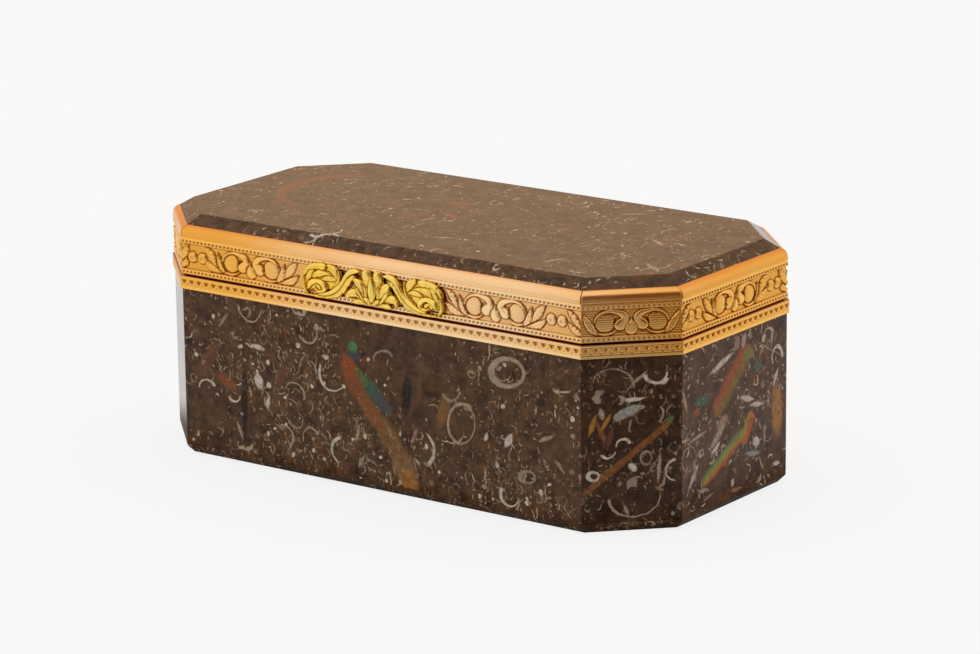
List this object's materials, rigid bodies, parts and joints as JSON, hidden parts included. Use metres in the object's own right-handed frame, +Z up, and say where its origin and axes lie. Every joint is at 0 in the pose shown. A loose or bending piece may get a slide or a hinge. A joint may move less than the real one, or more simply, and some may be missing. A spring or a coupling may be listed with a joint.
{
  "type": "snuff box",
  "caption": "Hinged snuff box with canted corners, polished shell-marble walls and lid, chased gold mounts and a scroll thumbpiece.",
  "frame": {"origin": "centre of the flat underside of the stone floor", "axes": "+X to the right along the box, +Y to the back where the hinge is, +Z up"},
  "size_m": [0.0886, 0.0476, 0.0347],
  "materials": {
    "shell_marble": "polished dark brown limestone full of cut shells",
    "red_gold": "red gold, polished strips and lining, chased bands",
    "green_gold": "green gold, cast and chased",
    "hinge_pin_gold": "drawn gold wire"
  },
  "bodies": {
    "base": {"bottom_slab": "shell_marble", "front_panel": "shell_marble", "front_right_cant_panel": "shell_marble", "right_end_panel": "shell_marble", "back_right_cant_panel": "shell_marble", "back_panel": "shell_marble", "back_left_cant_panel": "shell_marble", "left_end_panel": "shell_marble", "front_left_cant_panel": "shell_marble", "base_rim": "red_gold", "base_bezel": "red_gold", "base_hinge_knuckles": "red_gold", "hinge_pin": "hinge_pin_gold", "hinge_end_plugs": "red_gold"},
    "lid": {"lid_slab": "shell_marble", "lid_band": "red_gold", "lid_lining": "red_gold", "front_moulding": "red_gold", "front_right_cant_moulding": "red_gold", "right_end_moulding": "red_gold", "back_right_cant_moulding": "red_gold", "back_moulding": "red_gold", "back_left_cant_moulding": "red_gold", "left_end_moulding": "red_gold", "front_left_cant_moulding": "red_gold", "thumbpiece": "green_gold", "lid_hinge_knuckles": "red_gold"}
  },
  "joints": [
    {"name": "lid_hinge", "type": "hinge", "parent": "base", "child": "lid", "pos_m": [0, 0.02315, 0.02633], "axis": [-1, 0, 0], "range_deg": [0, 100]}
  ]
}
